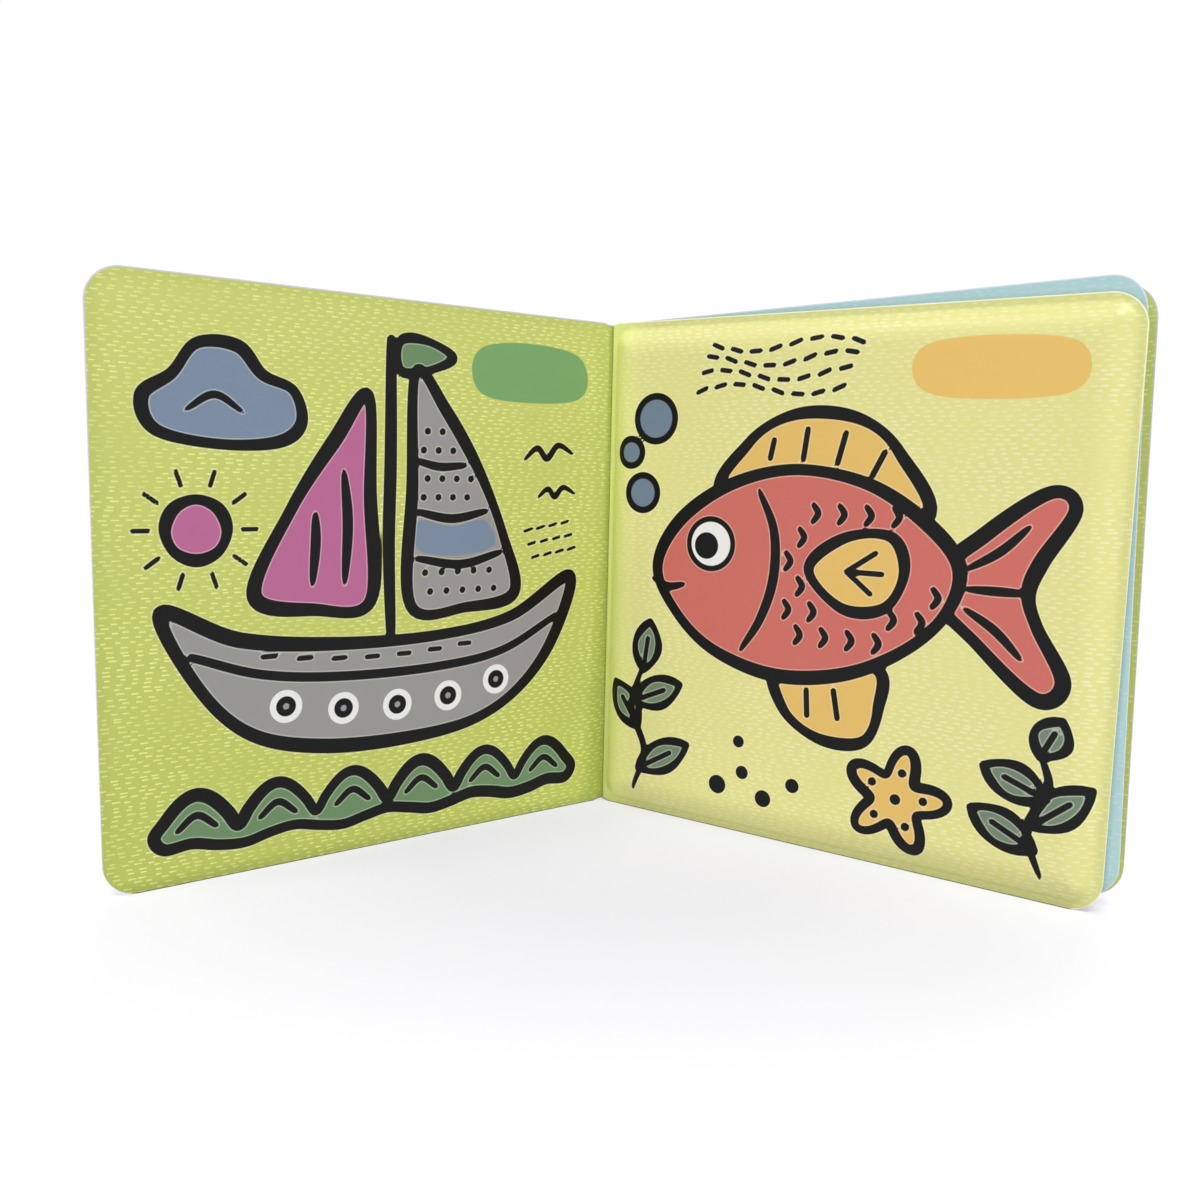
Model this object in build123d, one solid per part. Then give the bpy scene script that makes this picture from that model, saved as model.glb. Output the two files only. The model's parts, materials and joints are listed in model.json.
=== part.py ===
from build123d import *
import math
import os

# A square bath book of two padded double leaves, standing open at its first spread.
# Lengths are in millimetres, +Z is up and the open side faces -Y.

# Leaves
leaf_width = 150.0  # from the gutter or the weld strip to the fore-edge
leaf_height = 150.0
corner_radius = 8.5  # the corners at the fore-edge
film_thickness = 0.25
rim_width = 2.2  # flat welded border round each foam pad
pad_thickness = 3.0
shoulder_run = 6.2  # from the rim to the level top of the pad
back_overhang = 2.0  # more width in the back cover, which reaches round the middle leaves

# Spine
strip_width = 3.4  # weld that joins the middle sheet to the cover sheet
leaf_gap = 0.8  # air between the two middle leaves
crease_radius = 0.5  # bend of the film where it leaves the strip for the back cover
notch_width = 4.4  # dip at each end of the fold
notch_depth = 0.5

# Hinge lines of the covers
page_clearance = 0.3  # left under a shut cover
hinge_gap = 0.2
hinge_land = 1.2  # flat rim between a hinge line and the foot of its pad

# How the book stands
opening_deg = 108.0  # from the front cover to the first inner page
page_turn_deg = 35.0  # inner page forward of +X
back_fan_deg = 0.6  # back cover behind the middle leaves
back_band_deg = 60.0  # slope of the band from the strip to the back cover
middle_skew_deg = 1.65  # second middle leaf, raised at its fore-edge
back_skew_deg = 1.1

# How far each cover folds back from its place in the open book; with both folded they stand back to back
front_fold_back_deg = 82.0
back_fold_back_deg = 165.0
fold_relief_deg = 2.0

# Modelling values
fillet_share = 0.95  # of the largest radius that the pad's shoulder can hold
cut_reach = 2 * leaf_height

weld_thickness = 2 * film_thickness
opening = math.radians(opening_deg)
band_slope = math.radians(back_band_deg)

# Depths behind the rim of the first inner page, and radius of the middle sheet's fold
second_leaf_depth = weld_thickness + leaf_gap
strip_depth = second_leaf_depth + weld_thickness
fold_radius = strip_depth / 2
fold_reach = fold_radius * math.tan(opening / 2)

# Places of the two hinge lines, as reach along the first inner page and depth behind it
shut_height = pad_thickness + page_clearance
front_hinge_run = shut_height / math.sin(opening)
front_hinge = (front_hinge_run * math.cos(opening), -shut_height)
back_hinge = (strip_width + shut_height / math.tan(band_slope), strip_depth + shut_height)
back_band_run = shut_height / math.sin(band_slope)

# The shoulder is two equal arcs that meet on a short slope
shoulder_slope = 2 * math.atan(pad_thickness / shoulder_run)
shoulder_radius = fillet_share * (shoulder_run**2 + pad_thickness**2) / (4 * pad_thickness)
slope_foot = shoulder_run / 2 - pad_thickness / (2 * math.tan(shoulder_slope))


def leaf_corners(inner, width, skew, inset):
    """Corners of a leaf turned by skew in its own plane, moved in by inset, with an upright edge at inner."""
    turn = Rotation(0, 0, math.degrees(skew))
    low = (turn * Pos(width - inset, inset)).position
    high = (turn * Pos(width - inset, leaf_height - inset)).position
    inner_low = Vector(inner, low.Y - (low.X - inner) * math.tan(skew))
    inner_high = Vector(inner, high.Y - (high.X - inner) * math.tan(skew))
    return [inner_low, low, high, inner_high]


def padded_leaf(inner, width, pad_inner, skew_deg=0):
    """A leaf in its own plane: flat face at Z = 0, welded rim, and the pad raised towards +Z."""
    skew = math.radians(skew_deg)
    outline = make_face(Polyline(*leaf_corners(inner, width, skew, 0), close=True))
    outline = fillet(outline.vertices().sort_by(Axis.X)[-2:], corner_radius)
    foot_corners = leaf_corners(pad_inner + slope_foot, width, skew, rim_width + slope_foot)
    foot = make_face(Polyline(*foot_corners, close=True))
    foot = fillet(foot.vertices(), corner_radius - rim_width - slope_foot)
    pad = extrude(foot, pad_thickness, taper=90 - math.degrees(shoulder_slope))
    leaf = extrude(outline, weld_thickness) + Pos(0, 0, weld_thickness) * pad
    top_edges = leaf.faces().sort_by(Axis.Z)[-1].edges()
    leaf = fillet(top_edges, shoulder_radius)
    rim = leaf.faces().filter_by(Axis.Z).sort_by(Axis.Z)[1]
    return fillet(rim.inner_wires()[0].edges(), shoulder_radius)


def stood(leaf, reach, depth, turn_deg):
    """Stands a flat leaf up at a place of the plan, turned from the first inner page towards the back."""
    turn = math.radians(turn_deg)
    along = (math.cos(turn), math.sin(turn), 0)
    out = (math.sin(turn), -math.cos(turn), 0)
    return Plane(origin=(reach, depth, 0), x_dir=along, z_dir=out) * leaf


def standing_film(path):
    """A welded film of the leaf's height whose middle follows a path in the plan."""
    start = Plane(origin=path @ 0, x_dir=(0, 0, 1), z_dir=path % 0)
    return Pos(0, 0, leaf_height / 2) * sweep(start * Rectangle(leaf_height, weld_thickness), path=path)


def notch(height, side):
    """The round dip in one end of the fold, cut along the line that halves the opening."""
    radius = ((notch_width / 2) ** 2 + notch_depth**2) / (2 * notch_depth)
    centre = height + side * (radius - notch_depth)
    along = (math.cos(opening / 2), -math.sin(opening / 2), 0)
    return Plane(origin=(0, 0, centre), z_dir=along) * Cylinder(radius, cut_reach)


# Middle sheet: first inner leaf, fold, weld strip and second inner leaf
first_leaf = stood(padded_leaf(fold_reach, leaf_width, rim_width), 0, weld_thickness, 0)
second_flat = mirror(padded_leaf(0, leaf_width, rim_width, middle_skew_deg), about=Plane.XY)
second_leaf = stood(second_flat, strip_width, second_leaf_depth, 0)
film_middle = weld_thickness / 2
fold_top = Vector(fold_reach, film_middle)
fold_side = Vector(fold_reach - fold_radius + film_middle, fold_radius)
fold_bottom = Vector(fold_reach, strip_depth - film_middle)
fold_arc = ThreePointArc(fold_top, fold_side, fold_bottom)
fold_path = Wire([fold_arc.edge(), Line(fold_bottom, (strip_width, fold_bottom.Y)).edge()])
fold = standing_film(fold_path)
middle_leaves = first_leaf + fold + second_leaf

# Cover sheet's band: up to the front hinge, round the fold, under the strip and out to the back hinge
band_radius = fold_radius + film_middle
band_depth = strip_depth + film_middle
front_end = Vector(*front_hinge) + Vector(-math.sin(opening), -math.cos(opening)) * film_middle
front_bend = Vector((-film_middle - band_depth * math.cos(opening)) / math.sin(opening), band_depth)
back_bend = Vector(strip_width - film_middle * math.tan(band_slope / 2), band_depth)
back_end = Vector(*back_hinge) + Vector(-math.sin(band_slope), math.cos(band_slope)) * film_middle
band_path = FilletPolyline(front_end, front_bend, back_bend, back_end, radius=[band_radius, crease_radius])
cover_spine = standing_film(band_path)

# Covers, each flat inside and padded outside
front_flat = padded_leaf(front_hinge_run, leaf_width, front_hinge_run + hinge_land)
front_cover = stood(front_flat, 0, 0, -opening_deg)
back_width = leaf_width + back_overhang - back_band_run
back_flat = mirror(padded_leaf(0, back_width, hinge_land, back_skew_deg), about=Plane.XY)
back_cover = stood(back_flat, *back_hinge, back_fan_deg)


def fold_relief(hinge, film_deg, room_deg, side):
    """Wedge cut from a film's edge behind a hinge line, so that two edges share the room of the full fold."""
    edge_deg = room_deg / 2 - fold_relief_deg
    reach = weld_thickness / math.sin(math.radians(edge_deg))
    start = Vector(*hinge) + Vector(hinge_gap / 2, 0).rotate(Axis.Z, film_deg)
    points = [start]
    for turn_deg in (edge_deg, (edge_deg + 180) / 2, 180):
        points.append(start + Vector(reach, 0).rotate(Axis.Z, film_deg + side * turn_deg))
    return extrude(make_face(Polyline(*points, close=True)), cut_reach)


front_room_deg = 180 - front_fold_back_deg
back_room_deg = 180 + back_band_deg - back_fan_deg - back_fold_back_deg
front_cover -= fold_relief(front_hinge, -opening_deg, front_room_deg, -1)
back_cover -= fold_relief(back_hinge, back_fan_deg, back_room_deg, 1)
cover_spine -= fold_relief(front_hinge, 180 - opening_deg, front_room_deg, 1)
cover_spine -= fold_relief(back_hinge, 180 + back_band_deg, back_room_deg, -1)

# The fold dips at its two ends
for height, side in ((0, -1), (leaf_height, 1)):
    middle_leaves -= notch(height, side)
    cover_spine -= notch(height, side)

# Turned to its place and centred over the origin
pieces = {
    "middle_leaves": middle_leaves,
    "cover_spine": cover_spine,
    "front_cover": front_cover,
    "back_cover": back_cover,
}
turned = Rotation(0, 0, -page_turn_deg)
span = Compound(children=[turned * piece for piece in pieces.values()]).bounding_box()
place = Pos(-span.center().X, -span.center().Y, -span.min.Z) * turned

os.makedirs("parts", exist_ok=True)
for name, piece in pieces.items():
    export_step(place * piece, f"parts/{name}.step")
for name, hinge in (("front hinge", front_hinge), ("back hinge", back_hinge)):
    print(name, (place * Pos(*hinge)).position)
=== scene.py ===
import json
import math

import bpy
import numpy as np
from mathutils import Matrix, Vector


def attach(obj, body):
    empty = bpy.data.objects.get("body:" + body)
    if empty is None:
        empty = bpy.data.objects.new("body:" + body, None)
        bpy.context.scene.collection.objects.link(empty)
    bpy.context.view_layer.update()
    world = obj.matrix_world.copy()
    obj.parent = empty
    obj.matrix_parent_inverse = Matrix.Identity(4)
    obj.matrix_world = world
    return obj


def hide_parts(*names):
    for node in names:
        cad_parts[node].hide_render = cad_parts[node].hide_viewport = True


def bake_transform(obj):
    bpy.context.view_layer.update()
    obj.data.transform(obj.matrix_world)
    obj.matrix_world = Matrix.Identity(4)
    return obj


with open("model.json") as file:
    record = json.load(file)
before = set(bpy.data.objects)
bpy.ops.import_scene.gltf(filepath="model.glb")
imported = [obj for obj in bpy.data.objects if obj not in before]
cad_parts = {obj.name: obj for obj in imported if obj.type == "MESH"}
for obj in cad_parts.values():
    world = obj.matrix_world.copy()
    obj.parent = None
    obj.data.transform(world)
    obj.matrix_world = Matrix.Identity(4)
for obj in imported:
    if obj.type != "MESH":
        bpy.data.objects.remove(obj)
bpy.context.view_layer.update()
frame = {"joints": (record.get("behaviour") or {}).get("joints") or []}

# The open book on its table. It stands on the bottom edges of its leaves, with the gutter at the
# back: the first inner leaf runs forward to the right and the front cover forward to the left.
# Places in the plan are given as reach along the first inner leaf and depth behind its rim.
mm = 0.001
page_turn = math.radians(35)
opening = math.radians(108)
leaf_side = 150 * mm
weld_thickness = 0.5 * mm
pad_thickness = 3 * mm
shut_gap = 0.3 * mm
shut_height = pad_thickness + shut_gap
front_hinge_run = shut_height / math.sin(opening)
hinge_at = {joint["name"]: Vector(joint["pos_m"]) for joint in frame["joints"]}
page_way = Vector((math.cos(page_turn), -math.sin(page_turn), 0))
depth_way = Vector((math.sin(page_turn), math.cos(page_turn), 0))
cover_way = math.cos(opening) * page_way - math.sin(opening) * depth_way
gutter = hinge_at["front_cover_hinge"] - front_hinge_run * cover_way

# The camera stands in front of the gutter, a little above half the book's height, and looks slightly
# down with a slight roll, as the two fitted page outlines in the photograph give it.
camera_place = gutter + Vector((-1.6, -344.9, 107.5)) * mm
camera_down = 0.1235
camera_roll = 0.0232
camera_focal_px = 1101.3
photo_px = 1200
camera_data = bpy.data.cameras.new("photo_camera")
camera_data.sensor_width = 36
camera_data.lens = camera_data.sensor_width * camera_focal_px / photo_px
camera_data.clip_start = 10 * mm
camera = bpy.data.objects.new("photo_camera", camera_data)
turned_down = Matrix.Rotation(math.pi / 2 - camera_down, 4, "X")
rolled = Matrix.Rotation(camera_roll, 4, "Z")
camera.matrix_world = Matrix.Translation(camera_place) @ turned_down @ rolled
bpy.context.scene.collection.objects.link(camera)
bpy.context.scene.camera = camera


# Table and room. The book stands on a plain pale table in a white room, under a wide soft light from
# above the front, weaker ones from the left, the front and behind, and an even surround. The white of
# the room and of the table away from the book is only seen, by the camera and in the film's gloss.
class Varying:
    """A number that varies over a surface. Arithmetic on it adds Math nodes to its finish."""

    def __init__(self, finish, socket):
        self.finish = finish
        self.socket = socket

    def maths(self, operation, *values, clamp=False):
        return self.finish.node("ShaderNodeMath", {"operation": operation, "use_clamp": clamp}, *values)

    def __add__(self, other):
        return self.maths("ADD", self, other)

    def __radd__(self, other):
        return self.maths("ADD", other, self)

    def __sub__(self, other):
        return self.maths("SUBTRACT", self, other)

    def __rsub__(self, other):
        return self.maths("SUBTRACT", other, self)

    def __mul__(self, other):
        return self.maths("MULTIPLY", self, other)

    def __rmul__(self, other):
        return self.maths("MULTIPLY", other, self)

    def __truediv__(self, other):
        return self.maths("DIVIDE", self, other)

    def clamped(self):
        return self.maths("ADD", self, 0, clamp=True)

    def floored(self):
        return self.maths("FLOOR", self)

    def size(self):
        return self.maths("ABSOLUTE", self)

    def at_least(self, other):
        return self.maths("MAXIMUM", self, other)

    def rooted(self):
        return self.maths("SQRT", self)

    def below_zero(self, softness):
        """1 where this distance is less than zero and 0 where it is more, softened over a width."""
        return (0.5 - self / softness).clamped()

    def fading(self, run):
        """1 at zero, falling evenly to 0 at the end of the run."""
        return (1.0 - self / run).clamped()

    def beside(self, output):
        """Another output of the node that this one comes from."""
        return Varying(self.finish, self.socket.node.outputs[output])


class Finish:
    """The nodes of one material or of the world."""

    def __init__(self, holder):
        holder.use_nodes = True
        self.holder = holder
        self.tree = holder.node_tree
        for node in list(self.tree.nodes):
            if not node.bl_idname.startswith("ShaderNodeOutput"):
                self.tree.nodes.remove(node)

    def node(self, kind, settings, *values, output=0, **named):
        """Adds a node: its settings first, then the value or link of each socket, by place or by
        name. A socket given as None keeps its own value."""
        made = self.tree.nodes.new(kind)
        for setting, value in settings.items():
            setattr(made, setting, value)
        for key, value in [*enumerate(values), *named.items()]:
            self.feed(made.inputs[key if isinstance(key, int) else key.replace("_", " ")], value)
        return Varying(self, made.outputs[output])

    def feed(self, socket, value):
        if isinstance(value, Varying):
            self.tree.links.new(value.socket, socket)
        elif value is not None:
            socket.default_value = value

    def end(self, shader):
        """Makes a shader the surface."""
        last = next(node for node in self.tree.nodes if node.bl_idname.startswith("ShaderNodeOutput"))
        self.feed(last.inputs["Surface"], shader)
        return self.holder

    def mix(self, share, below, above, blend="MIX"):
        """The colour below where share is 0 and the one above, or its blend with the one below, where
        it is 1. The node's five sockets for other kinds of values stay as they are."""
        kind = {"data_type": "RGBA", "blend_type": blend}
        return self.node("ShaderNodeMix", kind, share, *[None] * 5, below, above, output=2)

    def attribute(self, name):
        return self.node("ShaderNodeAttribute", {"attribute_name": name}, output="Fac")

    def noise(self, place, scale, detail=2.0):
        return self.node("ShaderNodeTexNoise", {}, output="Fac", Vector=place, Scale=scale, Detail=detail)

    def place(self):
        return self.node("ShaderNodeTexCoord", {}, output="Object")

    def seen(self):
        """1 for the rays that the camera sees, straight, in gloss or through clear things, else 0."""
        ray = self.node("ShaderNodeLightPath", {}, output="Is Camera Ray")
        return ray.at_least(ray.beside("Is Glossy Ray")).at_least(ray.beside("Is Transmission Ray"))


def paint(red, green, blue):
    """A colour written as 0 to 255 display steps, turned by the standard display curve into the linear
    values that a shader takes."""
    display = np.array([red, green, blue]) / 255
    linear = np.where(display <= 0.04045, display / 12.92, ((display + 0.055) / 1.055) ** 2.4)
    return (*linear.tolist(), 1.0)


white = paint(255, 255, 255)
surround_strength = 0.22
room = Finish(bpy.data.worlds.new("white_room"))
strength = surround_strength + room.seen() * (1 - surround_strength)
bpy.context.scene.world = room.end(room.node("ShaderNodeBackground", {}, white, strength))
bpy.context.scene.view_settings.view_transform = "Standard"


def daylight(name, comes_from, strength, spread):
    """Even light from one direction, softened over a cone of so many degrees."""
    data = bpy.data.lights.new(name, "SUN")
    data.energy = strength
    data.angle = math.radians(spread)
    lamp = bpy.data.objects.new(name, data)
    lamp.matrix_world = Vector(comes_from).to_track_quat("Z", "Y").to_matrix().to_4x4()
    bpy.context.scene.collection.objects.link(lamp)


daylight("light_above", (0.05, -0.5, 0.86), 2.66, 28)
daylight("light_left", (-0.58, -0.27, 0.77), 0.5, 12)
daylight("light_front", (0.05, -1.0, 0.3), 0.2, 50)
daylight("light_behind", (0.1, 0.75, 0.66), 1.6, 60)

# Lengths in metres, from the middle of the book. The room's light meets one even paint. The camera sees a
# slightly cloudy, darker one beside the book, as painted shade round it, and a paler one further out, under
# a white that takes over.
table_reach = 3.0
cloud_scale = 9.0
white_near_book = 0.32
fade_from = 0.1
fade_run = 0.12
paler_from = 0.05
paler_run = 0.08
table_lit = paint(226, 226, 231)
# Painted shade: the camera sees the table darker beside the book
painted_shade_table_dull = paint(210, 210, 219)
painted_shade_table_pale = paint(214, 214, 223)
table_far = paint(233, 233, 239)
table_finish = Finish(bpy.data.materials.new("white_table"))
table_place = table_finish.place()
table_east = table_finish.node("ShaderNodeSeparateXYZ", {}, table_place)
table_north = table_east.beside("Y")
from_book = (table_east * table_east + table_north * table_north).rooted()
seen = table_finish.seen()
fade = (((from_book - fade_from) / fade_run).clamped() * (1 - white_near_book) + white_near_book) * seen
cloud = table_finish.noise(table_place, cloud_scale)
# Painted shade: the table seen darker beside the book, slightly cloudy
painted_shade_table = table_finish.mix(cloud, painted_shade_table_dull, painted_shade_table_pale)
paler = ((from_book - paler_from) / paler_run).clamped()
table_seen = table_finish.mix(paler, painted_shade_table, table_far)
matt = table_finish.node("ShaderNodeBsdfDiffuse", {}, table_finish.mix(seen, table_lit, table_seen))
glow = table_finish.node("ShaderNodeEmission", {}, white)
table_finish.end(table_finish.node("ShaderNodeMixShader", {}, fade, matt, glow))
table_mesh = bpy.data.meshes.new("table_top")
table_corners = [(-table_reach, -table_reach, 0), (table_reach, -table_reach, 0)]
table_corners += [(table_reach, table_reach, 0), (-table_reach, table_reach, 0)]
table_mesh.from_pydata(table_corners, [], [(0, 1, 2, 3)])
table_mesh.materials.append(table_finish.holder)
table = bpy.data.objects.new("table_top", table_mesh)
bpy.context.scene.collection.objects.link(table)


# First inner leaf with the fold of the middle sheet. Two printed films of soft plastic are welded
# face to face round a foam sheet: the outer film is formed over the foam, with a flat welded rim,
# and the inner one stays flat. At the gutter the sheet turns back under itself to the weld strip.
rim_width = 2.2 * mm
shoulder_run = 8.6 * mm
shoulder_power = 2.3
corner_radius = 8.5 * mm
pad_corner_radius = 5 * mm
backing_power = 0.25
strip_width = 3.4 * mm
leaf_gap = 0.8 * mm
second_leaf_depth = weld_thickness + leaf_gap
strip_depth = second_leaf_depth + weld_thickness
fold_radius = strip_depth / 2
fold_reach = fold_radius * math.tan(opening / 2)
notch_half = 2.7 * mm
notch_depth = 0.5 * mm
print_pitch = 0.75 * mm
plain_pitch = 1.5 * mm
least_pitch = 0.04 * mm
sharp_from = math.radians(40)
tiny = 1e-9


def film_path(points, radii, steps=8):
    """The plan of a film as (length, reach, depth, heading) arrays: straight runs between the points,
    with an arc of each radius at the corner between two runs, tangent to both."""
    points = np.array(points, float)
    ways = np.diff(points, axis=0)
    runs = np.hypot(*ways.T)
    headings = np.unwrap(np.arctan2(ways[:, 1], ways[:, 0]))
    units = ways / runs[:, None]
    places = [points[0]]
    turns = [headings[0]]
    for corner, radius in enumerate(radii):
        turn = headings[corner + 1] - headings[corner]
        setback = radius * abs(math.tan(turn / 2))
        start = points[corner + 1] - setback * units[corner]
        share = np.linspace(0, 1, steps + 1)
        angle = headings[corner] + turn * share
        side = math.copysign(1, turn)
        centre = start + side * radius * np.array([-units[corner][1], units[corner][0]])
        arc = centre + side * radius * np.stack([np.sin(angle), -np.cos(angle)], axis=1)
        places.extend(arc)
        turns.extend(angle)
    places.append(points[-1])
    turns.append(headings[-1])
    places = np.array(places)
    length = np.concatenate([[0], np.cumsum(np.hypot(*np.diff(places, axis=0).T))])
    return length, places[:, 0], places[:, 1], np.array(turns)


def rounded_inset(across, up, low_across, high_across, low_up, high_up, radius):
    """How far a point lies inside a rectangle with round corners: less than zero outside it. Past the
    corners' centres it is a b / sqrt(a^2 + b^2) of the ways a and b to the centres' lines, so that
    its level lines stay round."""
    half_across = (high_across - low_across) / 2
    half_up = (high_up - low_up) / 2
    past_across = np.abs(across - (low_across + high_across) / 2) - half_across + radius
    past_up = np.abs(up - (low_up + high_up) / 2) - half_up + radius
    corner = np.hypot(np.maximum(past_across, 0), np.maximum(past_up, 0))
    deep_across, deep_up = np.maximum(-past_across, 0), np.maximum(-past_up, 0)
    deeper = deep_across * deep_up / np.maximum(np.hypot(deep_across, deep_up), tiny)
    return radius - corner + deeper


def with_round_corners(across, up, width):
    """Moves a square grid's points so that its fore-edge corners are round: in each corner square a
    point keeps its larger distance from the corner's centre, but as a radius."""
    past_across = np.maximum(across - (width - corner_radius), 0)
    past_up = np.maximum(np.abs(up - leaf_side / 2) - (leaf_side / 2 - corner_radius), 0)
    reach = np.hypot(past_across, past_up)
    share = np.where(reach > 0, np.maximum(past_across, past_up) / np.maximum(reach, tiny), 1)
    turned_across = across - past_across * (1 - share)
    turned_up = up - np.sign(up - leaf_side / 2) * past_up * (1 - share)
    return turned_across, turned_up


def skin_faces(grid_shape, pad_side):
    """The faces of a closed skin over two like grids of points, the flat side's numbered first: the flat
    side, the padded side, and a strip along all four borders that joins them. With them goes the finish
    of each face, 0, 1 and 2 in that order."""
    number = np.arange(math.prod(grid_shape)).reshape(grid_shape)
    quads = np.stack([number[:-1, :-1], number[1:, :-1], number[1:, 1:], number[:-1, 1:]], axis=-1)
    quads = quads.reshape(-1, 4)
    border = np.concatenate([number[:-1, 0], number[-1, :-1], number[:0:-1, -1], number[0, :0:-1]])
    beyond = np.roll(border, -1)
    strip = np.stack([border, border + number.size, beyond + number.size, beyond], axis=-1)
    if pad_side > 0:
        parts = [quads, quads[:, ::-1] + number.size, strip]
    else:
        parts = [quads[:, ::-1], quads + number.size, strip[:, ::-1]]
    finish_of = np.repeat([0, 1, 2], [len(part) for part in parts])
    return np.concatenate(parts), finish_of.astype(np.int32)


def padded_film_leaf(name, path, pad_side, pad_from, pitch, skew=0.0, skew_from=0.0, notch=False):
    """A leaf as one closed skin. Its flat face follows the plan path; the padded face stands off it by
    the weld, plus the pad's height times 1 - (1 - t)^2.3, where t is how far the point lies inside
    the pad's foot over the shoulder's run: steepest at the foot, then rounding off slowly. A skewed
    leaf is turned in its own plane about its foot at skew_from, where it stays upright, and a notched
    one dips at both ends of the gutter. Returns the object, and for each vertex its place on the page
    and whether it is on the padded face."""
    length, reach, depth, heading = path
    whole = length[-1]
    columns = np.unique(np.concatenate([length, np.linspace(0, whole, round(whole / pitch) + 1)]))
    columns = columns[np.concatenate([[True], np.diff(columns) > least_pitch])]
    columns[-1] = whole
    rows = np.linspace(0, leaf_side, round(leaf_side / pitch) + 1)
    along, up = np.meshgrid(columns, rows, indexing="ij")
    across, up = with_round_corners(along - whole + leaf_side, up, leaf_side)
    along = across + whole - leaf_side

    pad_end = leaf_side - rim_width
    inset = rounded_inset(across, up, pad_from, pad_end, rim_width, pad_end, pad_corner_radius)
    from_cut = rounded_inset(across, up, -leaf_side, leaf_side, 0, leaf_side, corner_radius)
    share = np.clip(inset / shoulder_run, 0, 1)
    rise = 1 - (1 - share) ** shoulder_power
    stand_off = weld_thickness + pad_thickness * rise

    plan_reach = np.interp(along, length, reach)
    plan_depth = np.interp(along, length, depth)
    plan_heading = np.interp(along, length, heading)
    out_reach = -pad_side * np.sin(plan_heading)
    out_depth = pad_side * np.cos(plan_heading)
    height = up
    if notch:
        dip = notch_depth * np.clip(1 - (across / notch_half) ** 2, 0, 1)
        height = leaf_side / 2 + (up - leaf_side / 2) * (1 - dip / (leaf_side / 2))
    if skew:
        flat = np.maximum(across - skew_from, 0)
        turned = flat / (leaf_side - skew_from)
        pulled_back = flat * (1 - math.cos(skew)) + turned * up * math.sin(skew)
        plan_reach = plan_reach - pulled_back * np.cos(plan_heading)
        plan_depth = plan_depth - pulled_back * np.sin(plan_heading)
        height = up * (1 - turned * (1 - math.cos(skew))) + flat * math.sin(skew)

    sides = []
    for lift in (np.zeros_like(stand_off), stand_off):
        at_reach = plan_reach + out_reach * lift
        at_depth = plan_depth + out_depth * lift
        east = gutter.x + at_reach * page_way.x + at_depth * depth_way.x
        north = gutter.y + at_reach * page_way.y + at_depth * depth_way.y
        sides.append(np.stack([east, north, height], axis=-1).reshape(-1, 3))
    faces, finish_of = skin_faces(across.shape, pad_side)

    mesh = bpy.data.meshes.new(name)
    mesh.from_pydata(np.concatenate(sides), [], faces)
    mesh.polygons.foreach_set("material_index", finish_of)
    mesh.polygons.foreach_set("use_smooth", np.ones(len(faces), bool))
    mesh.set_sharp_from_angle(angle=sharp_from)
    page = np.tile(np.stack([across, up], axis=-1).reshape(-1, 2), (2, 1))
    padded = np.repeat([False, True], across.size)
    corners = np.empty(len(mesh.loops), np.int32)
    mesh.loops.foreach_get("vertex_index", corners)
    mesh.uv_layers.new(name="Page").data.foreach_set("uv", (page[corners] / leaf_side).ravel())
    for held, values in (("foam_backed", rise**backing_power), ("from_cut", from_cut / mm)):
        attribute = mesh.attributes.new(held, "FLOAT", "POINT")
        attribute.data.foreach_set("value", np.tile(values.ravel(), 2).astype(np.float32))
    leaf = bpy.data.objects.new(name, mesh)
    bpy.context.scene.collection.objects.link(leaf)
    return leaf, page, padded


first_path = film_path(
    [
        (strip_width, second_leaf_depth),
        (fold_reach - fold_radius + weld_thickness, second_leaf_depth),
        (fold_reach - fold_radius + weld_thickness, weld_thickness),
        (leaf_side, weld_thickness),
    ],
    [leaf_gap / 2, leaf_gap / 2],
)
first_leaf, first_page, first_padded = padded_film_leaf(
    "first_inner_leaf", first_path, -1, rim_width, print_pitch, notch=True
)


# Print on the films. Inks are laid flat on the film before it is welded: a pale ground with rows of
# short dashes, flat fields of colour and thick black outlines. Each ink is held on the mesh as the
# distance to its edge in millimetres, less than zero inside, and the finish cuts it off at zero.
ink_black = paint(10, 11, 11)
far_away = 40.0
held_beyond = 6.0
outline_swell = 0.14
outline_swells = 3
vein_share = 0.66
vein_width = 1.9


def curve_through(points, closed=True, steps=10):
    """A smooth line through the points: between two of them it is the cubic whose ends run along the
    chords of their neighbours."""
    points = np.array(points, float)
    if closed:
        before, after, last = np.roll(points, 1, 0), np.roll(points, -1, 0), np.roll(points, -2, 0)
    else:
        ends = np.concatenate([[2 * points[0] - points[1]], points, [2 * points[-1] - points[-2]]])
        before, points, after, last = ends[:-3], ends[1:-2], ends[2:-1], ends[3:]
    share = np.arange(steps)[None, :, None] / steps
    p0, p1, p2, p3 = (p[:, None, :] for p in (before, points, after, last))
    line = p1 + share * (p2 - p0) / 2 + share**2 * (2 * p0 - 5 * p1 + 4 * p2 - p3) / 2
    line = line + share**3 * (3 * p1 - p0 - 3 * p2 + p3) / 2
    line = line.reshape(-1, 2)
    return line if closed else np.concatenate([line, after[-1:]])


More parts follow.
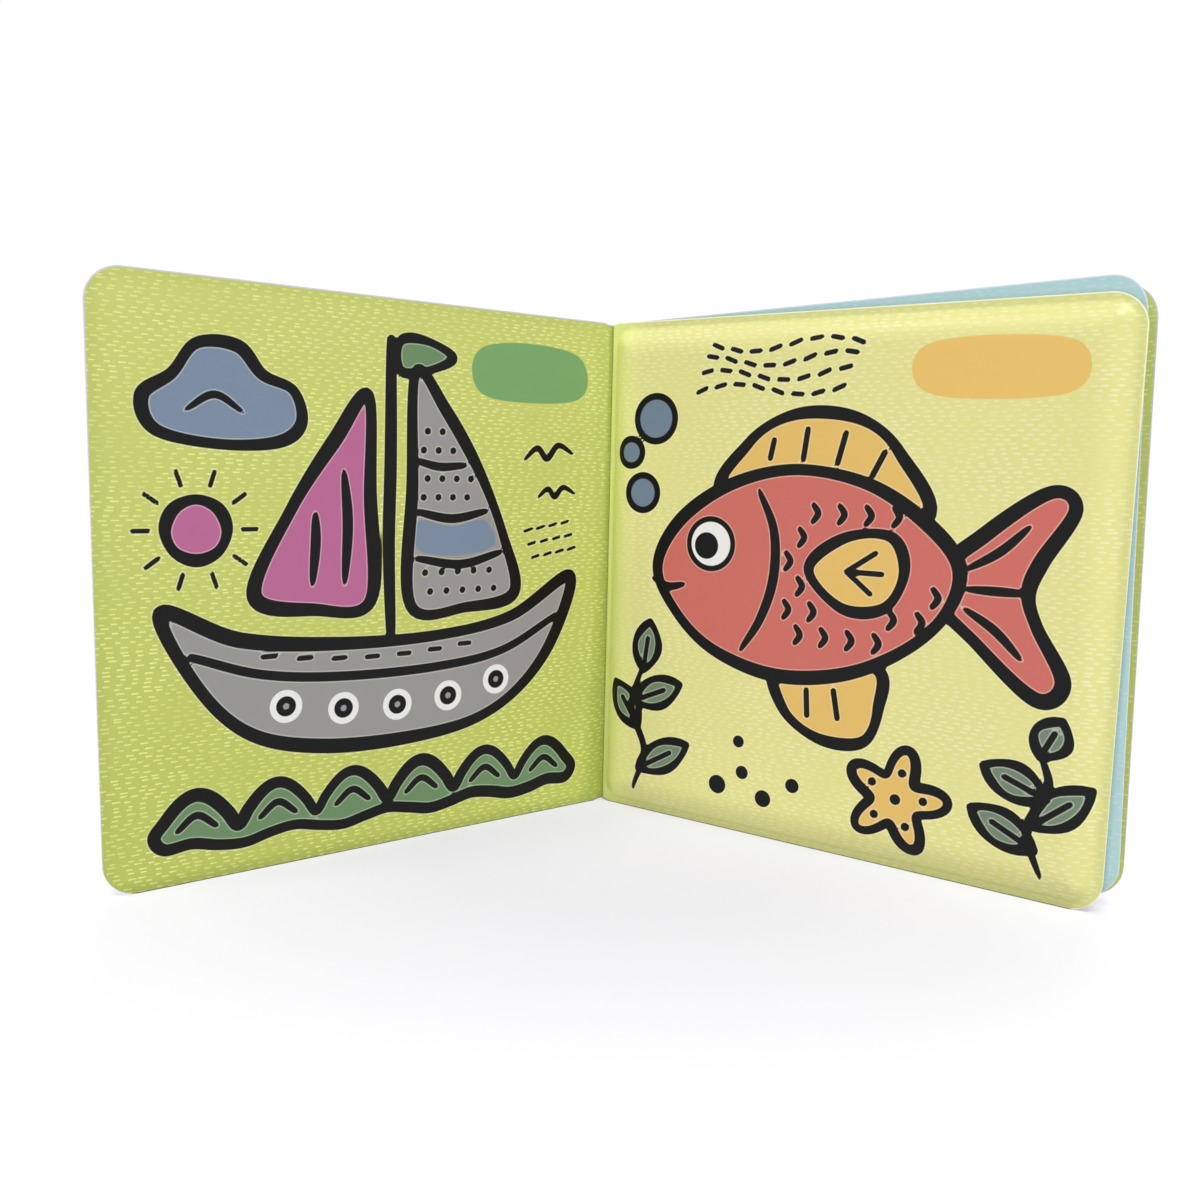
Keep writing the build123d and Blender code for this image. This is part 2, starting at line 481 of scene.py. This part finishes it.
class PrintedPage:
    """The inks of one page, over the places of a leaf's vertices, in millimetres from the lower left
    corner as the reader sees it. Vertices off the printed face are put far away from it."""

    def __init__(self, page, printed, from_left):
        across, up = page.T / mm
        self.places = np.stack([across if from_left else leaf_side / mm - across, up], axis=1)
        self.places[~printed] = -10 * far_away
        self.inks = {}

    def lay(self, ink, near, distance):
        held = self.inks.setdefault(ink, np.full(len(self.places), far_away))
        held[near] = np.minimum(held[near], distance)

    def near(self, line, margin=held_beyond):
        low, high = line.min(0) - margin, line.max(0) + margin
        return np.nonzero(((self.places > low) & (self.places < high)).all(1))[0]

    def from_line(self, near, line, half_widths):
        """Distance from a line less its half width there: the least over its straight bits, with the
        foot of the perpendicular kept on each bit."""
        start, way = line[:-1], np.diff(line, axis=0)
        offset = self.places[near][:, None, :] - start
        share = np.clip((offset * way).sum(-1) / np.maximum((way * way).sum(-1), tiny), 0, 1)
        distance = np.hypot(*np.moveaxis(offset - share[..., None] * way, -1, 0))
        half = half_widths[:-1] + share * np.diff(half_widths)
        return (distance - half).min(1)

    def inside(self, near, loop):
        """True where a level line to the right crosses the closed loop an odd number of times."""
        start, end = loop[:-1], loop[1:]
        x, y = self.places[near].T[:, :, None]
        spans = (start[:, 1] > y) != (end[:, 1] > y)
        rise = np.where(start[:, 1] == end[:, 1], 1, end[:, 1] - start[:, 1])
        crossing = start[:, 0] + (y - start[:, 1]) * (end[:, 0] - start[:, 0]) / rise
        return (spans & (x < crossing)).sum(1) % 2 == 1

    def field(self, ink, points, outline=0.0, smooth=True, behind=None):
        """A closed field of colour, with a black outline whose width swells gently along it as a sine
        wave. Nothing of it is laid inside the loops of behind."""
        loop = curve_through(points) if smooth else np.array(points, float)
        loop = np.concatenate([loop, loop[:1]])
        near = self.near(loop)
        edge = self.from_line(near, loop, np.zeros(len(loop)))
        signed = np.where(self.inside(near, loop), -edge, edge)
        hidden = np.zeros(len(near), bool)
        for other in behind or ():
            hidden |= self.inside(near, other)
        self.lay(ink, near[~hidden], signed[~hidden])
        if outline:
            turns = np.linspace(0, 2 * math.pi * outline_swells, len(loop))
            half = outline / 2 * (1 + outline_swell * np.sin(turns))
            self.lay("black", near[~hidden], self.from_line(near, loop, half)[~hidden])
        return loop

    def stroke(self, points, width, ends=0.35, smooth=True):
        """A black stroke that narrows to a share of its width at both ends, as the root of a sine."""
        line = curve_through(points, closed=False) if smooth else np.array(points, float)
        share = np.linspace(0, 1, len(line))
        half = width / 2 * (ends + (1 - ends) * np.sin(math.pi * share) ** 0.5)
        near = self.near(line)
        self.lay("black", near, self.from_line(near, line, half))

    def spot(self, ink, centre, radius):
        near = self.near(np.array([centre], float), radius + held_beyond)
        self.lay(ink, near, np.hypot(*(self.places[near] - centre).T) - radius)

    def leaf_shape(self, ink, base, tip, width, outline):
        """A pointed leaf with a vein: its half width goes as the sine, to the power 0.8, of the way from
        base to tip."""
        base, tip = np.array(base, float), np.array(tip, float)
        share = np.linspace(0, 1, 13)
        side = np.array([base[1] - tip[1], tip[0] - base[0]]) / math.dist(base, tip)
        half = (width / 2 * np.sin(math.pi * share) ** 0.8)[:, None]
        middle = base + share[:, None] * (tip - base)
        loop = np.concatenate([middle + half * side, (middle - half * side)[-2:0:-1]])
        self.field(ink, loop, outline, smooth=False)
        self.stroke([base, base + vein_share * (tip - base)], vein_width, ends=0.8, smooth=False)

    def store(self, leaf):
        for ink, distance in self.inks.items():
            held = leaf.data.attributes.new(ink, "FLOAT", "POINT")
            held.data.foreach_set("value", distance.astype(np.float32))


# The picture on page 3: a generic fish with weed, bubbles, a starfish and a bare coloured patch
fish_page = PrintedPage(first_page, first_padded, from_left=True)
body_points = [(21, 77), (28, 91), (44, 102), (64, 107), (85, 104), (101, 95), (111, 84)]
body_points += [(109, 72), (99, 61), (82, 52), (61, 49), (41, 54), (28, 64)]
body = fish_page.field("coral", body_points, 3.6)
tail_points = [(104, 78), (117, 92), (132, 103), (138, 99), (131, 86), (128.5, 78)]
tail_points += [(131, 70), (138, 57), (132, 52), (117, 64)]
fish_page.field("coral", tail_points, 3.6, behind=[body])
back_fin = [(44, 98), (50, 114), (64, 122), (82, 121), (94, 112), (100, 94)]
fish_page.field("yellow", back_fin, 3.2, behind=[body])
belly_fin = [(62, 53), (64, 40), (75, 33), (88, 34), (92, 44), (90, 55)]
fish_page.field("yellow", belly_fin, 3.2, behind=[body])
fin_rays = [((57, 110), (58, 115)), ((67, 110), (68, 118)), ((77, 109), (79, 117))]
fin_rays += [((87, 106), (90, 112)), ((71, 46), (71.5, 39)), ((79, 47), (80.5, 39.5))]
for ray in fin_rays:
    fish_page.stroke(ray, 2.4, ends=0.7, smooth=False)
for bend in (11, 0, -11):
    tail_ray = [(113, 78 + 0.45 * bend), (121, 78 + 0.9 * bend), (129 - abs(bend) / 9, 78 + 1.5 * bend)]
    fish_page.stroke(tail_ray, 2.4)
side_fin = [(70, 80), (80, 89), (93, 90), (97, 81), (92, 71), (80, 70)]
fish_page.field("yellow", side_fin, 3.0)
for tip in ((89, 85.5), (91, 80), (88, 74.5)):
    fish_page.stroke([(81, 80), tip], 2.0, ends=0.75, smooth=False)
fish_page.stroke([(54, 101), (59, 90), (59.5, 77), (56, 65), (50, 55)], 3.0)
fish_page.stroke([(19.5, 73.5), (25, 71.5), (30.5, 72.5)], 2.4)
fish_page.spot("black", (39, 85), 8.0)
fish_page.spot("white", (39, 85), 6.4)
fish_page.spot("iris", (37.6, 84.4), 3.9)
body_middle, body_half = (79, 78), (28, 21)
fin_middle, fin_half = (84, 80), (17.5, 13.5)
scale_along, scale_up = 7.6, 6.8
for row in range(8):
    for column in range(7):
        scale_at = np.array([63 + scale_along * (column + (row % 2) / 2), 54.5 + scale_up * row])
        in_body = np.hypot(*((scale_at - body_middle) / body_half))
        by_fin = np.hypot(*((scale_at - fin_middle) / fin_half))
        if in_body < 1 and by_fin > 1:
            bow = [scale_at + (0, 2.4), scale_at + (1.5, 0), scale_at + (0, -2.4)]
            fish_page.stroke(bow, 1.9, ends=0.7)
fish_page.stroke([(14, 7), (18, 20), (13, 33), (17, 47)], 2.4)
fish_page.stroke([(136, 7), (132, 19), (136.5, 30), (134, 39)], 2.4)
weed_leaves = [((16, 14), (33, 24)), ((15.5, 27), (6.5, 40)), ((14, 35), (30, 42)), ((17, 45), (19, 60))]
weed_leaves += [((134, 14), (118, 22)), ((133, 20), (146, 31)), ((136, 27.5), (120.5, 33.5))]
weed_leaves += [((134, 38), (138.5, 47.5))]
for base, tip in weed_leaves:
    fish_page.leaf_shape("leaf", base, tip, 8.5, 2.3)
star_middle, star_lean = np.array([98, 20]), 0.2
star_turn = np.linspace(0, 2 * math.pi, 121)[:-1]
star_reach = 10.6 + 3.6 * np.cos(5 * star_turn)
star_ways = np.stack([np.sin(star_turn + star_lean), np.cos(star_turn + star_lean)], axis=1)
fish_page.field("yellow", star_middle + star_reach[:, None] * star_ways, 2.7, smooth=False)
for arm in range(5):
    turn = star_lean + arm * 2 * math.pi / 5
    fish_page.spot("black", star_middle + 7.6 * np.array([math.sin(turn), math.cos(turn)]), 1.2)
fish_page.spot("black", star_middle, 1.5)
pebbles = [((44, 14), 2.8), ((52, 19), 2.0), ((59, 12.5), 2.5), ((68, 18), 2.1), ((50.5, 28), 1.8)]
for centre, radius in pebbles:
    fish_page.spot("black", centre, radius)
for centre, radius in (((15, 99), 4.2), ((10.5, 111), 3.0), ((19, 121), 5.6)):
    fish_page.spot("black", centre, radius + 2.0)
    fish_page.spot("bubble", centre, radius)
for row in range(4):
    for dash in range(8):
        wave = 0.9 * dash + row
        left = 33 + 6.0 * dash + 1.6 * row
        lift = 129 + 4.0 * row + 1.5 * math.sin(wave)
        tilt = 0.6 * math.cos(wave)
        fish_page.stroke([(left, lift - tilt), (left + 2.9, lift + tilt)], 1.7, ends=0.8, smooth=False)
patch = [(96, 133), (100, 139.5), (117, 141), (135, 139)]
patch += [(139, 132), (134, 126.5), (116, 125.5), (101, 127)]
fish_page.field("patch", patch)
fish_page.store(first_leaf)


# Dashes of the ground: one to a cell, in millimetres, and how far chance moves it, in shares of the cell
cell_long, cell_high = 3.3, 1.15
dash_half_high = 0.17
dash_half_long = 0.4
dash_longer = 0.45
dash_taper = 0.04
moved_along, moved_up = 0.35, 0.5
row_slide = 5.0

# Cloudy wear of the dashes, in waves over a leaf's side, and how sharply it takes their strength
wear_scale, wear_detail = 9.0, 3.0
wear_contrast, wear_loss = 2.4, 0.45

# The inks' edges, painted bounce light and painted shade by the gutter, the bare margin with its painted
# highlight, and painted shade and a painted contact shadow at the standing edge. Widths and heights are in
# millimetres
ink_softness = 0.14
halo_reach = 0.2
halo_share = 0.4
halo_film = paint(240, 242, 222)
unbacked_tint = (0.91, 0.94, 0.92, 1.0)
# Painted bounce light from the facing page beside the gutter, over a run in millimetres
gutter_bounce_run = 14.0
# Painted shade in the gutter's crease, wider towards the table
gutter_shade_growth = 7.0
gutter_shade_share = 0.34
gutter_shade_print = paint(96, 118, 24)
edge_softness = 0.12
# The bare film's own colour shows at the cut edge; its widening towards the top is a painted highlight along
# the top cut edge
bare_margin = 0.1
bare_margin_top_highlight = 0.22
# Painted shade over the standing edge
standing_edge_shade_height = 3.4
standing_edge_shade_share = 0.3
standing_edge_shade_print = paint(112, 120, 58)
# Painted contact shadow: a thin dark line along the standing edge
contact_shadow_line = 0.26
contact_shadow_share = 0.85
contact_shadow_print = paint(92, 88, 102)

# The film's gloss. The scales are waves to a metre, and the relief is in metres
grain_scale, grain_detail = 5200.0, 1.0
unevenness_scale, unevenness_detail = 60.0, 2.0
grain_in_relief = 0.5
relief_strength = 0.12
relief_height = 0.00012
least_roughness, more_roughness = 0.25, 0.12
film_specular = 0.2


def film_finish(name, ground, dash, bare, inks=(), dash_share=1.0, dash_blur=0.16,
                foot_shade=None, gutter_bounce_light=None, gutter_shade=0.0):
    """Printed film: the ground with its dashes, then each ink over it in order with a paler hair line
    round the black, a little darker where no foam lies behind it. Where they are given, the ground
    darkens towards the standing edge, as painted shade, and goes over to a greener, lighter colour
    beside the gutter, as painted bounce light from the facing page; and the print takes painted shade
    in the gutter's crease, over a width that grows with the square of the way down. The bare film shows
    in a hair line at the cut edge that widens upwards, as the height to the fourth power, its upper part
    a painted highlight along the top cut edge. Over the edge that the book stands on the print takes
    painted shade, with a painted contact shadow as a thin dark line along it. The soft gloss is a
    little uneven, with the fine grain of calendered film."""
    film = Finish(bpy.data.materials.new(name))
    page = film.node("ShaderNodeUVMap", {"uv_map": "Page"})
    across = film.node("ShaderNodeSeparateXYZ", {}, page)
    high = across.beside("Y")
    up = high * (leaf_side / mm)
    across = across * (leaf_side / mm)

    # A dash is what lies within its half height of a short level line, and thins towards one end
    row = (up / cell_high).floored()
    row_shift = film.node("ShaderNodeTexWhiteNoise", {"noise_dimensions": "1D"}, W=row)
    slid = across / cell_long + row_shift * row_slide
    column = slid.floored()
    cell = film.node("ShaderNodeCombineXYZ", {}, column, row)
    chance = film.node("ShaderNodeTexWhiteNoise", {"noise_dimensions": "2D"}, output="Color", Vector=cell)
    first = film.node("ShaderNodeSeparateColor", {}, chance)
    second, third = first.beside("Green"), first.beside("Blue")
    along_dash = (slid - column - 0.5 - (first - 0.5) * moved_along) * cell_long
    from_level = (up / cell_high - row - 0.5 - (second - 0.5) * moved_up) * cell_high
    past_end = (along_dash.size() - dash_half_long - third * dash_longer).at_least(0)
    from_line = (past_end * past_end + from_level * from_level).rooted()
    dash_edge = from_line - dash_half_high - along_dash * dash_taper
    wear = film.noise(page, wear_scale, wear_detail)
    strength = (wear * wear_contrast - wear_loss).clamped() * dash_share
    # Painted shade: the ground darkens evenly towards the standing edge
    if foot_shade:
        ground = film.mix(high, foot_shade, ground)
    # Painted bounce light: beside the gutter the ground turns greener and lighter, as if lit by the facing
    # page
    if gutter_bounce_light:
        ground = film.mix(across.fading(gutter_bounce_run), ground, gutter_bounce_light)
    colour = film.mix(dash_edge.below_zero(dash_blur) * strength, ground, dash)

    for ink, shade in inks:
        edge = film.attribute(ink)
        if ink == "black":
            halo = (edge - halo_reach).size().fading(halo_reach) * halo_share
            colour = film.mix(halo, colour, halo_film)
        colour = film.mix(edge.below_zero(ink_softness), colour, shade)

    # What the whole print takes on: the tint of the unbacked film, painted shade in the gutter and over the
    # standing edge, a painted contact shadow, and the bare margin with its painted highlight
    backed = film.attribute("foam_backed")
    unbacked = film.mix(1.0, colour, unbacked_tint, blend="MULTIPLY")
    colour = film.mix(backed, unbacked, colour)
    # Painted shade in the gutter's crease, over a width that grows downwards
    if gutter_shade:
        down = 1.0 - high
        gutter_shade_reach = (down * down * gutter_shade_growth + 1.0) * gutter_shade
        colour = film.mix(across.fading(gutter_shade_reach) * gutter_shade_share, colour, gutter_shade_print)
    from_cut = film.attribute("from_cut")
    # Painted shade over the standing edge
    colour = film.mix(up.fading(standing_edge_shade_height) * standing_edge_shade_share, colour, standing_edge_shade_print)
    # Bare film at the cut edge, widening upwards into a painted highlight along the top cut edge
    margin = high * high * high * high * bare_margin_top_highlight + bare_margin
    colour = film.mix((from_cut - margin).below_zero(edge_softness), colour, bare)
    # Painted contact shadow: a thin dark line along the standing edge
    in_contact_shadow = (up - contact_shadow_line).below_zero(edge_softness) * contact_shadow_share
    colour = film.mix(in_contact_shadow, colour, contact_shadow_print)

    place = film.place()
    grain = film.noise(place, grain_scale, grain_detail)
    uneven = film.noise(place, unevenness_scale, unevenness_detail)
    height = grain * grain_in_relief + uneven
    relief = film.node("ShaderNodeBump", {}, Strength=relief_strength, Distance=relief_height, Height=height)
    roughness = least_roughness + uneven * more_roughness
    gloss = film.node("ShaderNodeBsdfPrincipled", {}, Base_Color=colour, Roughness=roughness,
                      Normal=relief, Specular_IOR_Level=film_specular)
    return film.end(gloss)


def edge_finish(name, shade):
    """The cut edge of the two welded films, where their white plastic shows between the inks."""
    streak_scale = 900.0
    white_share = 0.5
    film_white = paint(250, 249, 246)
    film = Finish(bpy.data.materials.new(name))
    streak = film.noise(film.place(), streak_scale)
    colour = film.mix((streak * white_share).clamped(), shade, film_white)
    return film.end(film.node("ShaderNodeBsdfPrincipled", {}, Base_Color=colour, Roughness=0.5, IOR=1.5))


bare_yellow_film = paint(243, 245, 208)
first_leaf.data.materials.append(
    film_finish("page_4_film", paint(228, 222, 150), paint(240, 238, 200), bare_yellow_film)
)
first_leaf.data.materials.append(
    film_finish(
        "page_3_film",
        # painted light: the ground is paler and yellower than page 2's, as on the page turned towards the
        # light
        paint(220, 216, 142),
        paint(240, 239, 204),
        bare_yellow_film,
        (
            ("patch", paint(226, 188, 106)),
            ("coral", paint(200, 108, 98)),
            ("yellow", paint(222, 184, 104)),
            ("leaf", paint(110, 129, 107)),
            ("black", ink_black),
            ("white", paint(232, 230, 226)),
            ("bubble", paint(110, 128, 146)),
            ("iris", ink_black),
        ),
        dash_share=0.55,
        dash_blur=0.4,
        # painted bounce light from the facing green page, beside the gutter
        gutter_bounce_light=paint(232, 240, 140),
        # width of the painted shade in the gutter's crease
        gutter_shade=0.6,
    )
)
first_leaf.data.materials.append(edge_finish("first_leaf_cut_edge", paint(236, 236, 200)))
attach(first_leaf, "root")
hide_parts("middle_leaves")


# Second inner leaf, the other half of the middle sheet. It leaves the far edge of the weld strip,
# lies behind the first leaf, flat in front and padded behind, and was folded a little out of
# square, so its fore-edge stands higher.
middle_skew = math.radians(1.65)
second_end = (strip_width + leaf_side, second_leaf_depth)
second_path = film_path([(strip_width, second_leaf_depth), second_end], [])
second_leaf, _, _ = padded_film_leaf(
    "second_inner_leaf", second_path, 1, rim_width, plain_pitch, middle_skew
)
blue_ground = paint(179, 209, 214)
blue_dash = paint(204, 222, 226)
bare_blue_film = paint(208, 219, 229)
for page in ("page_5_film", "page_6_film"):
    blue_film = film_finish(page, blue_ground, blue_dash, bare_blue_film, dash_share=0.7, dash_blur=0.3)
    second_leaf.data.materials.append(blue_film)
second_leaf.data.materials.append(edge_finish("second_leaf_cut_edge", paint(214, 218, 230)))
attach(second_leaf, "root")
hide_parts("middle_leaves")


# Front cover with the spine band: the other welded sheet. Its inner film is the flat printed page on
# the left, and its outer film is formed over the foam. It runs round the fold of the middle sheet
# and under it to the far edge of the weld strip. The rim beside the gutter is its hinge.
hinge_land = 1.2 * mm
spine_corner = (-strip_depth / math.tan(opening), strip_depth)
cover_end = leaf_side * np.array([math.cos(opening), -math.sin(opening)])
front_path = film_path([(strip_width, strip_depth), spine_corner, cover_end], [fold_radius])
front_cover, front_page, front_padded = padded_film_leaf(
    "front_cover_leaf", front_path, -1, front_hinge_run + hinge_land, print_pitch, notch=True
)

# The picture on page 2: a generic boat with a cloud, a sun, waves, birds and a bare coloured patch
boat_page = PrintedPage(front_page, ~front_padded, from_left=False)
hull_points = [(15, 69), (34, 61), (60, 58), (90, 58), (115, 62), (136, 73), (130, 54), (118, 40)]
hull_points += [(102, 32), (80, 29.5), (56, 30.5), (37, 36), (24, 49)]
boat_page.field("grey", hull_points, 3.6)
boat_page.stroke([(22, 57.5), (40, 51.5), (62, 49), (90, 49), (112, 52), (131, 61)], 2.6, ends=0.8)
for centre in ((46, 42.5), (62, 40.2), (78, 39.4), (94, 40.2), (110, 43.4)):
    boat_page.spot("white", centre, 4.4)
    boat_page.spot("iris", centre, 2.7)
    boat_page.spot("grey_top", centre, 0.9)
for bay in range(7):
    left = 40 + 9.6 * bay
    lift = 53.6 + 0.0023 * (left - 73) ** 2
    boat_page.stroke([(left, lift), (left + 3.4, lift)], 1.7, ends=0.8, smooth=False)
boat_page.stroke([(76, 59), (75.4, 84), (76, 108), (76.2, 139)], 3.8, ends=0.7)
main_sail = [(82, 67), (82.5, 100), (83.5, 131), (93, 121), (104, 104), (112, 86), (116, 69), (100, 65.5)]
boat_page.field("grey", main_sail, 3.4)
boat_page.stroke([(84, 80), (98, 78), (111, 81)], 2.6, ends=0.6)
boat_page.stroke([(84, 93), (95, 91), (106, 93)], 2.6, ends=0.6)
boat_page.field("mist", [(84.5, 82.5), (97, 80.6), (109, 83.2), (105.5, 90.5), (95, 88.8), (84.5, 90.5)])
for row in range(2):
    for column in range(5):
        boat_page.spot("black", (86.5 + 5.2 * column + 1.6 * row, 76 - 5.4 * row), 1.0)
for row in range(4):
    for column in range(4 - row // 2):
        dot_at = (86 + 4.6 * column + 1.2 * (row % 2), 97 + 5.2 * row + 2.6 * (row > 1))
        boat_page.spot("black", dot_at, 1.0)
boat_page.stroke([(84, 107), (91, 105.5), (99, 106)], 2.4, ends=0.6)
fore_sail = [(70, 69), (70, 98), (69.5, 124), (60, 112), (48, 94), (38, 72), (54, 67.5)]
boat_page.field("pink", fore_sail, 3.6)
boat_page.stroke([(62.5, 74), (63.5, 90), (62.5, 104)], 3.0, ends=0.3)
boat_page.stroke([(53.5, 74), (54.5, 85), (54.5, 93)], 2.8, ends=0.3)
boat_page.field("leaf", [(79, 139), (87, 139.5), (95, 135.5), (87, 131.5), (79, 131)], 2.5)
wave_count, wave_left, wave_long = 6, 12, 21
sea_long = wave_count * wave_long
crest_at = np.linspace(0, 1, 49)
crests = 13 + 9.5 * np.abs(np.sin(wave_count * math.pi * crest_at))
trough_at = np.linspace(0.02, 0.98, 19)
troughs = 9 + 1.2 * np.sin(9 * math.pi * trough_at)
sea = np.stack([wave_left + sea_long * crest_at, crests], axis=1)
sea_foot = np.stack([wave_left + sea_long - sea_long * trough_at, troughs], axis=1)
boat_page.field("leaf", np.concatenate([sea, sea_foot]), 3.2)
for wave in range(wave_count):
    middle = wave_left + wave_long * (wave + 0.5)
    boat_page.stroke([(middle - 4.8, 13.8), (middle, 17.2), (middle + 4.8, 13.8)], 1.9, ends=0.7)
cloud_points = [(15, 113), (12, 121), (19, 126.5), (25, 134), (35, 134)]
cloud_points += [(41, 127.5), (49, 124), (51, 116), (45, 111), (30, 110)]
boat_page.field("mist", cloud_points, 3.0)
boat_page.stroke([(22, 118), (29, 122), (36, 118)], 1.9)
sun_middle = np.array([24, 89])
sun_turn = np.linspace(0, 5.5, 8)
sun_rim = sun_middle + 7.5 * np.stack([np.cos(sun_turn), np.sin(sun_turn)], axis=1)
boat_page.field("pink", sun_rim, 2.9)
for turn in np.arange(10) * math.pi / 5:
    way = np.array([math.cos(turn), math.sin(turn)])
    boat_page.stroke([sun_middle + 11.3 * way, sun_middle + 15 * way], 1.9, ends=0.6, smooth=False)
patch = [(101, 133), (105, 139.5), (120, 141.5), (137, 139.5)]
patch += [(141.5, 132), (137, 126), (120, 124.5), (105, 126)]
boat_page.field("patch", patch)
boat_page.stroke([(119, 108), (123.5, 111.5), (127, 108.5), (131, 112.5), (136.5, 110)], 2.0)
boat_page.stroke([(124, 97), (127.5, 99.5), (130, 97.2), (133, 100), (137.5, 98)], 1.8)
for row in range(3):
    for dash in range(4):
        left = 122 + 4.4 * dash - 1.3 * row
        lift = 79 + 4.0 * row + 0.7 * dash
        boat_page.stroke([(left, lift), (left + 2.6, lift + 0.7)], 1.6, ends=0.6, smooth=False)
boat_page.store(front_cover)

bare_cover_film = paint(206, 205, 224)
grey_ink = paint(150, 149, 148)
front_cover.data.materials.append(
    film_finish(
        "page_2_film",
        paint(202, 208, 117),
        paint(230, 235, 150),
        bare_cover_film,
        (
            ("patch", paint(121, 166, 107)),
            ("grey", grey_ink),
            ("mist", paint(122, 138, 160)),
            ("pink", paint(182, 104, 147)),
            ("leaf", paint(106, 138, 98)),
            ("black", ink_black),
            ("white", paint(230, 230, 228)),
            ("iris", ink_black),
            ("grey_top", grey_ink),
        ),
        # painted shade: the ground's colour at the standing edge
        foot_shade=paint(186, 196, 97),
        # width of the painted shade in the gutter's crease
        gutter_shade=1.2,
    )
)
cover_ground = paint(212, 213, 229)
cover_dash = paint(240, 240, 247)
cover_cut_edge = paint(206, 208, 222)
cover_film = film_finish("front_cover_film", cover_ground, cover_dash, bare_cover_film)
front_cover.data.materials.append(cover_film)
front_cover.data.materials.append(edge_finish("front_cover_cut_edge", cover_cut_edge))
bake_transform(front_cover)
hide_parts("front_cover", "cover_spine")


# Back cover, the other end of the cover sheet. It leaves the far edge of the weld strip, passes
# beside the second leaf's pad on a short band that is its hinge, and lies nearly shut against the
# back of the middle leaves, flat in front and padded behind.
band_slope = math.radians(60)
back_fan = math.radians(0.6)
back_skew = math.radians(1.1)
back_overhang = 2 * mm
crease_radius = 0.5 * mm
back_band_run = shut_height / math.sin(band_slope)
back_hinge_place = np.array([strip_width + shut_height / math.tan(band_slope), strip_depth + shut_height])
back_run = leaf_side + back_overhang - back_band_run
back_end = back_hinge_place + back_run * np.array([math.cos(back_fan), math.sin(back_fan)])
back_path = film_path(
    [(strip_width - crease_radius, strip_depth), (strip_width, strip_depth), back_hinge_place, back_end],
    [crease_radius, crease_radius],
)
back_inner = leaf_side - back_run
back_cover, _, _ = padded_film_leaf(
    "back_cover_leaf", back_path, 1, back_inner + hinge_land, plain_pitch, back_skew, back_inner
)
lime_film = film_finish("page_7_film", paint(204, 207, 118), paint(226, 229, 158), bare_cover_film)
back_cover.data.materials.append(lime_film)
cover_film = film_finish("back_cover_film", cover_ground, cover_dash, bare_cover_film)
back_cover.data.materials.append(cover_film)
back_cover.data.materials.append(edge_finish("back_cover_cut_edge", cover_cut_edge))
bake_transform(back_cover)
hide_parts("back_cover", "cover_spine")
